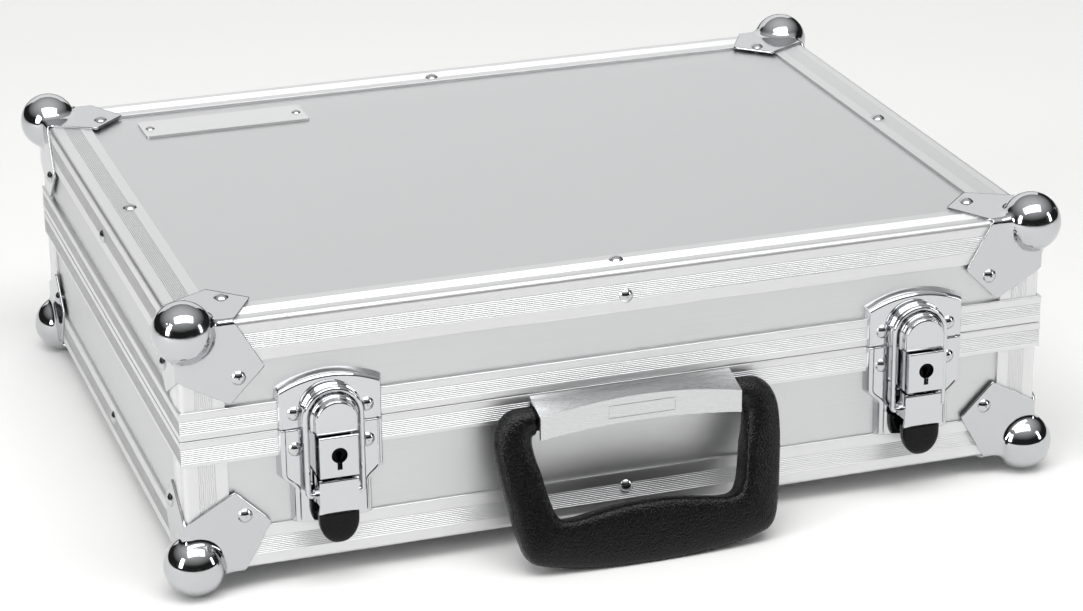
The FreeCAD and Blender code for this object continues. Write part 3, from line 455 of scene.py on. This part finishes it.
def on_front(across, up, out):
    """Millimetres across, up from the seam and out from the face, to metres in the model."""
    across, up, out = np.broadcast_arrays(across, up, out)
    return np.stack([across * MM, face_y - out * MM, seam_z + up * MM], -1)


def middle_x(node):
    low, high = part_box(node)
    return (low.x + high.x) / 2 / MM


print("face y", round(face_y, 5), "seam z", round(seam_z, 5))

# %% [markdown]
# ## The grip
# The real grip is one moulding: a D whose sides lean in towards the bar, thicker below,
# with a wide soft bevel outside and a smooth rounded inside where the fingers go. It is
# made here as a section carried along the D. Two curves, the inner and the outer edge,
# run round together, and at every step the same rounded section spans from one to the
# other. Underneath it is level, so that it clears the table. A cage with subdivision
# would also do, but these curves set both edges directly.

# %% Grip from two edge curves and a section
def mirrored(half):
    """A right-hand list of (x, below) from the hub down, made whole from left to right."""
    half = np.array(half, float)
    left = half * (-1, 1)
    return np.vstack([left, half[-2::-1]])


outer_edge = bend(mirrored([
    (53.4, -7.3), (60, -7.5), (67, -6.0), (72.6, 0), (75.0, 9), (73.6, 25), (71.2, 40), (68.8, 55),
    (64.8, 69), (54, 72.6), (38, 75.4), (18, 77.4), (0, 77.8),
]), 10)
inner_edge = bend(mirrored([
    (53.4, 7.0), (54.4, 7.2), (55.2, 8.5), (55.3, 12), (54.7, 17), (53.2, 27), (51.6, 36), (49.6, 44.5),
    (46.5, 49.8), (39, 50.4), (28, 48.6), (14, 46.6), (0, 46),
]), 10)
section = bend([
    (0, 0), (0, 0.62), (0.05, 0.97), (0.22, 1.03), (0.40, 1.0), (0.68, 0.90), (0.93, 0.68), (1, 0.32),
    (1, -0.32), (0.93, -0.68), (0.68, -0.90), (0.40, -1.0), (0.22, -1.03), (0.05, -0.97), (0, -0.62),
], 3, closed=True)
grip_tilt = math.radians(20.0)
pivot_out, pivot_up = 8.6, -11.0
thickness = np.interp((inner_edge[:, 1] + outer_edge[:, 1]) / 2, [0, 22, 60], [7.3, 8.0, 9.0])


def hang(across, below, depth):
    """From the grip's own plane, tilted out at the bottom, to the model. Its underside
    is cut level: the height is kept over the floor, which is softened over 1 mm."""
    up = pivot_up - below * math.cos(grip_tilt) + depth * math.sin(grip_tilt)
    out = pivot_out + below * math.sin(grip_tilt) + depth * math.cos(grip_tilt)
    floor_up = 0.35 - seam_z / MM
    return on_front(across, -soft_min(-up, np.full_like(up, -floor_up), 1.0), out)


def grip_rings():
    """point(s, t) = inner(s) + w(t) (outer(s) - inner(s)), at depth d(t) thickness(s).
    At the hubs the section is round; it turns into the bevelled one further down."""
    below = (inner_edge[:, 1] + outer_edge[:, 1]) / 2
    bevelled = np.clip((below - 6) / 18, 0, 1)[:, None]
    w, d = section[None, :, 0], section[None, :, 1]
    angle = np.arctan2(d, 2 * w - 1)
    w = (0.5 + 0.5 * np.cos(angle)) * (1 - bevelled) + w * bevelled
    d = np.sin(angle) * (1 - bevelled) + d * bevelled
    plane = inner_edge[:, None] * (1 - w[..., None]) + outer_edge[:, None] * w[..., None]
    return plane[..., 0], plane[..., 1], d * thickness[:, None]


stub_radius, stub_inner, stub_outer, stub_chamfer = 5.2, 41.2, 54.4, 0.3


def stub_rings(side):
    """Round stub on the hub's axis, with a small chamfer at its inner end."""
    x = side * np.array([stub_inner, stub_inner + stub_chamfer, stub_outer])[:, None]
    radius = np.array([stub_radius - stub_chamfer, stub_radius, stub_radius])[:, None]
    turn = np.linspace(0, 2 * np.pi, 32, endpoint=False)[None]
    return x + 0 * turn, radius * np.cos(turn), radius * np.sin(turn)


def closed_ends(rings, pulls=(0.95, 0.6, 0.0)):
    """Add rings at both ends that shrink to the end ring's middle, so a tube is closed."""
    first = [rings[:1].mean(1, keepdims=True) * (1 - k) + rings[:1] * k for k in pulls[::-1]]
    last = [rings[-1:].mean(1, keepdims=True) * (1 - k) + rings[-1:] * k for k in pulls]
    return np.concatenate(first + [rings] + last)


handle_x = middle_x("handle_bracket")
grip_parts = [
    (closed_ends(hang(across + handle_x, below, depth)), False, True)
    for across, below, depth in (grip_rings(), stub_rings(-1), stub_rings(1))
]
place_piece(mesh_of("moulded_grip", grip_parts), "grip", pebbled, "grip_plastic", "handle_grip")

# %% [markdown]
# ## The keepers and their hooks
# The upper half of each latch is a pressed plate: a flat face with sloping flanges, and a
# hook in the middle that the wire bail pulls down on. The hook is an arch: a low shoulder
# under the wire, a neck that the wire lies round, a lip in front of it, and a flat nose.
# The plate is a height over its outline, worked out from the distance to its edge. The
# hook is a profile of radius and height carried along an arch shape. Bevels on the CAD
# plate would leave its flanges straight, where a pressing has none that are.

# %% Keeper plate as a height over its outline
keeper_half, keeper_side, keeper_crown = 26.75, 21.3, 28.1
plate_face, plate_foot, plate_wall, seam_gap = 3.2, -1.4, 1.1, 0.3
side_slope, end_slope, rim_soft, face_soft = 1.5, 2.6, 0.3, 0.35


def fine_ends(count, share):
    """Numbers from -1 to 1 that crowd towards both ends, where a pressing bends."""
    t = np.linspace(-1, 1, count)
    return t * (1 - share) + share * np.sign(t) * (1 - (1 - np.abs(t)) ** 3)


def pressed(side_climb, end_climb):
    """Height of a pressed pan: both climbs go from 0 at the rim to 1 at the flat face, the
    lower one counts, and it stops at 1; every change is rounded."""
    climb = soft_min(soft_min(side_climb, end_climb, rim_soft), np.ones_like(side_climb), face_soft)
    return plate_foot + (plate_face - plate_foot) * np.maximum(climb, 0)


def keeper_plate():
    """across = u half; up runs from the seam to an arch, side + (crown - side)(1 - u^2);
    the height climbs from the case to the face over 1.5 mm at the sides and 2.6 mm above."""
    u = fine_ends(72, 0.75)[None, :]
    v = 1 - np.linspace(1, 0, 56)[:, None] ** 1.8
    top = keeper_side + (keeper_crown - keeper_side) * (1 - u ** 2)
    across, up = u * keeper_half + 0 * v, seam_gap + v * (top - seam_gap)
    side_climb = (1 - np.abs(u)) * keeper_half / side_slope + 0 * v
    return across, up, pressed(side_climb, (1 - v) * (top - seam_gap) / end_slope)


print("keeper plate grid", keeper_plate()[0].shape)

# %% Hook as a profile carried along an arch
hook_profile = bend([
    (16.2, 2.6), (15.6, 3.3), (14.9, 5.4), (13.6, 6.15), (12.0, 6.2), (11.7, 7.2), (11.7, 8.6),
    (12.25, 9.7), (12.1, 10.9), (11.2, 11.4), (10.9, 12.4), (10.6, 14.0), (10.2, 15.2), (9.2, 15.5),
    (7.0, 15.6), (3.0, 15.7), (0.0, 15.7),
], 5)
hook_centre = 6.2


def hook_grids():
    """The arch: up one leg at -r, round a half circle of radius r, and down at +r, with
    its centre above the seam. The foot is closed straight across, left to right."""
    radius, out = hook_profile[:, 0][:, None], hook_profile[:, 1][:, None]
    turn = np.linspace(np.pi, 0, 33)[None]
    leg = np.linspace(seam_gap, hook_centre, 5)[:-1][None]
    across = np.concatenate([-radius + 0 * leg, radius * np.cos(turn), radius + 0 * leg], 1)
    up = np.concatenate([leg + 0 * radius, hook_centre + radius * np.sin(turn), leg[:, ::-1] + 0 * radius], 1)
    sole = np.concatenate([-radius, radius * 0, radius], 1)
    return (across, up, out + 0 * across), (sole, seam_gap + 0 * sole, out + 0 * sole)


latch_middles = {side: middle_x(f"keeper_{side}") for side in ("left", "right")}
for side, x in latch_middles.items():
    across, up, out = keeper_plate()
    face = [(on_front(across + x, up, out), False, False)]
    mesh = mesh_of(f"keeper_plate_{side}", face, (0, -1, 0))
    place_sheet(plate_wall, mesh, "lid", latch_chrome, "latch_chrome", f"keeper_{side}")
    hook = [(on_front(a + x, b, c), False, False) for a, b, c in hook_grids()]
    place_piece(mesh_of(f"keeper_hook_{side}", hook), "lid", latch_chrome, "latch_chrome")

# %% [markdown]
# ## The latch plates and the lever tips
# The lower half of each latch is a pressed plate too, wide at the seam and narrower
# below, with a step rolled in along its sides. Two lugs stand up from it and hold the
# lever's pin. The lever ends in a soft vinyl tip, dipped and so rounded on every side: an
# oval section that keeps its width and then closes like the end of an ellipse. The plate
# is made as the keeper is, so that both pressings bend alike.

# %% Latch plate, its lugs and the lever tips
wide_down, narrow_down, side_down, crown_down, narrow_half = 23.5, 31.5, 50.0, 52.0, 20.5
bead_high, bead_in, bead_half, bead_fade = 0.5, 3.4, 0.8, 3.0
pin_down, pin_out, lug_radius, lug_inner, lug_outer, lug_foot = 27.8, 10.3, 2.6, 6.6, 7.9, 2.0
tip_top, tip_end, tip_half, tip_out, tip_deep, tip_round = 41.4, 58.5, 10.0, 11.55, 4.1, 12.5


def latch_plate():
    """across = u half(down): half goes from wide to narrow in one soft step, and a shallow
    bead, a cosine bump, follows the sides a little way in and fades out at the end."""
    u = fine_ends(96, 0.6)[None, :]
    v = 1 - np.linspace(1, 0, 90)[:, None] ** 1.5
    low = side_down + (crown_down - side_down) * (1 - u ** 2)
    down = seam_gap + v * (low - seam_gap)
    step = np.clip((down - wide_down) / (narrow_down - wide_down), 0, 1)
    half = keeper_half + (narrow_half - keeper_half) * step ** 2 * (3 - 2 * step)
    from_side = (1 - np.abs(u)) * half
    out = pressed(from_side / side_slope, (1 - v) * (low - seam_gap) / side_slope)
    bead = bead_high * np.cos(np.clip(np.abs(from_side - bead_in) / bead_half, 0, 1) * np.pi / 2) ** 2
    return u * half, -down, out + bead * np.clip((side_down - down) / bead_fade, 0, 1)


def plate_lug(side):
    """A lug between the plate and the pin: a strip whose outline ends in a half circle
    round the pin, carried along the pin by the lug's thickness."""
    turn = np.linspace(0, np.pi, 15)
    up = np.concatenate([[lug_radius], lug_radius * np.cos(turn), [-lug_radius]]) - pin_down
    out = np.concatenate([[lug_foot], pin_out + lug_radius * np.sin(turn), [lug_foot]])
    x = side * np.array([lug_outer, lug_inner])[:, None]
    return x + 0 * up, up + 0 * x, out + 0 * x


def lever_tip():
    """across = w cos and out = h sin, both to the power 1/2, so that the oval is nearly a
    rounded box. Over the last stretch w closes as c = sqrt(1 - t^2), and h as c^0.67."""
    down = tip_top + (tip_end - tip_top) * np.sin(np.linspace(0, np.pi / 2, 30))[:, None]
    t = np.maximum(down - tip_end + tip_round, 0) / tip_round
    close = np.sqrt(np.maximum(1 - t ** 2, 1e-6))
    turn = np.linspace(0, 2 * np.pi, 48, endpoint=False)[None, :]
    across = np.sign(np.cos(turn)) * np.abs(np.cos(turn)) ** 0.5 * tip_half * close
    out = tip_out + np.sign(np.sin(turn)) * np.abs(np.sin(turn)) ** 0.5 * tip_deep * close ** 0.67
    return across, -down + 0 * turn, out


for side, x in latch_middles.items():
    across, up, out = latch_plate()
    face = [(on_front(across + x, up, out), False, False)]
    mesh = mesh_of(f"latch_base_plate_{side}", face, (0, -1, 0))
    place_sheet(plate_wall, mesh, "base", latch_chrome, "latch_chrome", f"latch_plate_{side}")
    lugs = []
    for way in (-1, 1):
        across, up, out = plate_lug(way)
        lugs.append((closed_ends(on_front(across + x, up, out), (0.0,)), False, True))
    place_piece(mesh_of(f"latch_lugs_{side}", lugs), "base", latch_chrome, "latch_chrome")
    across, up, out = lever_tip()
    tip = [(closed_ends(on_front(across + x, up, out), (0.9, 0.0)), False, True)]
    mesh = mesh_of(f"dipped_tip_{side}", tip)
    place_piece(mesh, f"lever_{side}", vinyl, "tip_plastic", f"thumb_tip_{side}")

# %% [markdown]
# ## The ball corners
# Each corner is one steel pressing: three leaves that lie on the faces of the case, and a
# ball that they run into through a smooth neck. Seen from the ball's centre the whole skin
# is one distance in every direction: the ball's radius, or the distance to the leaves,
# whichever is more, with the change between them rounded. So each leaf is drawn flat, in
# rays from its corner, and every point is then moved along its line from the centre. A
# ball cut into three plates would meet them in a sharp line, where steel has a neck.

# %% Ball corner from three leaves
ball_radius, ball_inset, sheet_t = 15.3, 4.2, 1.2
neck_round, fold_r = 5.0, 3.0
leaf_far, leaf_near, leaf_edge, leaf_soft = 42.0 + sheet_t, 24.5 + sheet_t, 27.5 + sheet_t, 0.8
leaf_outline = [(leaf_edge, 0), (leaf_far, leaf_near), (leaf_near, leaf_far), (0, leaf_edge)]


def leaf_reach(angle):
    """How far the leaf reaches from its corner in a direction: the nearest of its three
    straight edges, each at offset / cos(angle - normal), with soft corners."""
    lines = []
    for (x0, y0), (x1, y1) in zip(leaf_outline, leaf_outline[1:]):
        nx, ny = y1 - y0, x0 - x1
        size = math.hypot(nx, ny)
        towards = np.maximum((np.cos(angle) * nx + np.sin(angle) * ny) / size, 0.05)
        lines.append((x0 * nx + y0 * ny) / size / towards)
    return soft_min(soft_min(lines[0], lines[2], leaf_soft), lines[1], leaf_soft)


def folded(flat):
    """Round the folds: a point nearer than fold_r to a fold goes on to a circle, at the
    angle 45 degrees (1 - distance / fold_r), so that both leaves meet halfway."""
    edges = flat[..., :2] + sheet_t
    angle = np.pi / 4 * np.clip(1 - edges / fold_r, 0, 1)
    near = edges < fold_r
    edges = np.where(near, fold_r * (1 - np.sin(angle)), edges)
    depth = np.sum(np.where(near, fold_r * (1 - np.cos(angle)), 0), -1, keepdims=True)
    return np.concatenate([edges - sheet_t, flat[..., 2:] + depth], -1)


def leaf_grid(turn):
    """Leaf points by angle and share of reach. From the ball's centre, the distance of
    each is the leaf's or the ball's, whichever is more, softened over neck_round."""
    angle = np.linspace(0, np.pi / 2, 65)[:, None]
    reach = leaf_reach(angle) * np.linspace(0, 1, 60)[None, :] ** 0.85
    level = 0 * reach - sheet_t
    flat = np.stack([reach * np.cos(angle) - sheet_t, reach * np.sin(angle) - sheet_t, level], -1)
    ray = folded(flat) - ball_inset
    leaf = np.linalg.norm(ray, axis=-1, keepdims=True)
    skin = -soft_min(-leaf, np.full_like(leaf, -ball_radius), neck_round)
    return np.roll(ball_inset + ray / leaf * skin, turn, -1)


def place_corner(node, points):
    """Turn inward millimetres into the model, from the outermost point of the CAD ball."""
    low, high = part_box(node)
    lid, right, rear = "_lid_" in node, node.endswith("right"), "_rear_" in node
    signs = np.array([-1 if right else 1, -1 if rear else 1, -1 if lid else 1])
    tip = np.array([high.x if right else low.x, high.y if rear else low.y, high.z if lid else low.z])
    return tip + signs * (points + ball_radius - ball_inset) * MM


leaves = [leaf_grid(turn) for turn in range(3)]
for half in ("base", "lid"):
    for corner in ("front_left", "front_right", "rear_right", "rear_left"):
        node = f"ball_corner_{half}_{corner}"
        grids = [(place_corner(node, leaf), False, False) for leaf in leaves]
        outward = np.mean([g[0].mean((0, 1)) for g in grids], 0) - (0, 0, seam_z)
        mesh = mesh_of(f"pressed_{node}", grids, outward)
        place_sheet(sheet_t, mesh, half, corner_chrome, "corner_chrome", node)

# %% [markdown]
# ## The foam
# Inside is dark open cell foam. The base holds a tray with eight pockets cut out of it,
# and the lid holds an egg crate pad that presses on what lies in them. Foam has no sharp
# edges: a cut edge closes over a few millimetres and the surface is never quite flat. So
# both are heights over a grid whose lines crowd where the shape bends, with a flat back
# and walls between. They are stiff blocks in the case, so no cloth simulation is needed.

# %% Foam blocks
def foam_shell(x, y, face, back):
    """Closed block: a face of heights, a flat back, and walls between their borders."""
    across, along = np.meshgrid(x, y, indexing="ij")
    front = np.stack([across, along, face], -1)
    rear = np.stack([across, along, np.full_like(face, back)], -1)
    rims = np.stack([np.concatenate([s[:-1, 0], s[-1, :-1], s[:0:-1, -1], s[0, :0:-1]]) for s in (front, rear)])
    return [(front * MM, False, False), (rear * MM, False, False), (rims * MM, False, True)]


def foam_lines(low, high, edges, step):
    """Grid lines every `step`, and closely about each cut edge and both ends."""
    near = np.array([0, 0.3, 0.8, 1.5, 2.5, 3.6])
    inside = np.array([-6, -4.6, -3.4, -2.4, -1.6, -1.0, -0.6, -0.3])
    lines = [np.arange(low, high, step), low + near, high - near]
    lines += [edge + way * np.concatenate([near, inside]) for edge, way in edges]
    lines = np.unique(np.round(np.clip(np.concatenate(lines), low, high), 2))
    return lines[np.append(np.diff(lines) > 0.1, True)]


def lip(distance, radius):
    """How far a rounded edge has fallen at this distance from it: a quarter circle."""
    inside = np.clip(radius - distance, 0, radius)
    return radius - np.sqrt(radius ** 2 - inside ** 2)


def limits(node):
    return [np.array(corner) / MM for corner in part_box(node)]


floor_low, floor_high = limits("foam_tray_floor")
wall_low, wall_high = limits("foam_tray_walls")
rim, divider, columns, pocket_r, lip_r, line_gap = 18.0, 14.0, 4, 4.0, 2.5, 7.0
x0, y0, x1, y1 = wall_low[0], wall_low[1], wall_high[0], wall_high[1]
pitch = (x1 - x0 - 2 * rim) / columns
x_cuts = [x0 + rim + k * pitch for k in range(columns + 1)]
y_cuts = [y0 + rim, (y0 + y1) / 2, y1 - rim]
x_pockets, y_pockets = [
    [(a + divider / 2 * (a > cuts[0]), b - divider / 2 * (b < cuts[-1])) for a, b in zip(cuts, cuts[1:])]
    for cuts in (x_cuts, y_cuts)
]


def tray_height(x, y):
    """Top less the lip near an edge; inside a pocket a steep wall down to the floor. The
    distance to a pocket is that to a rectangle with round corners."""
    away = np.full(np.broadcast(x, y).shape, 1e3)
    for a, b in x_pockets:
        for c, d in y_pockets:
            dx = np.abs(x - (a + b) / 2) - (b - a) / 2 + pocket_r
            dy = np.abs(y - (c + d) / 2) - (d - c) / 2 + pocket_r
            outside = np.hypot(np.maximum(dx, 0), np.maximum(dy, 0))
            away = np.minimum(away, outside + np.minimum(np.maximum(dx, dy), 0) - pocket_r)
    border = np.minimum(np.minimum(x - x0, x1 - x), np.minimum(y - y0, y1 - y))
    top = wall_high[2] - 0.4 + 0.35 * np.sin(x / 31) * np.sin(y / 23) - lip(away, lip_r) - lip(border, lip_r)
    wall = np.clip(-away / 0.9, 0, 1)
    bottom = floor_high[2] + 0.3 * np.sin(x / 17 + 1) * np.sin(y / 19) + 1.5 * np.clip(1 + away / 4, 0, 1) ** 2
    return top * (1 - wall) + bottom * wall


tray_x, tray_y = [
    foam_lines(low, high, [(a, -1) for a, b in pockets] + [(b, 1) for a, b in pockets], line_gap)
    for low, high, pockets in ((x0, x1, x_pockets), (y0, y1, y_pockets))
]
tray = foam_shell(tray_x, tray_y, tray_height(tray_x[:, None], tray_y[None, :]), floor_low[2])
tray_piece = place_piece(
    mesh_of("foam_tray", tray), "base", foam_skin, "foam", "foam_tray_floor", "foam_tray_walls",
)

pad_low, pad_high = limits("foam_lid_pad")
crate_pitch, crate_deep, crate_lip, crate_gap = 34.0, 11.0, 3.0, 2.4
pad_x = foam_lines(pad_low[0], pad_high[0], [], crate_gap)
pad_y = foam_lines(pad_low[1], pad_high[1], [], crate_gap)


def crate_height(x, y):
    """Egg crate: the pad's lower face, risen by depth (1 + cos x cos y) / 2, round its rim."""
    wave = (1 + np.cos(2 * np.pi * x / crate_pitch) * np.cos(2 * np.pi * y / crate_pitch)) / 2
    border = np.minimum(
        np.minimum(x - pad_low[0], pad_high[0] - x), np.minimum(y - pad_low[1], pad_high[1] - y),
    )
    return pad_low[2] + 0.1 + crate_deep * wave + lip(border, crate_lip)


pad = foam_shell(pad_x, pad_y, crate_height(pad_x[:, None], pad_y[None, :]), pad_high[2])
pad_piece = place_piece(mesh_of("foam_egg_crate_pad", pad), "lid", foam_skin, "foam", "foam_lid_pad")
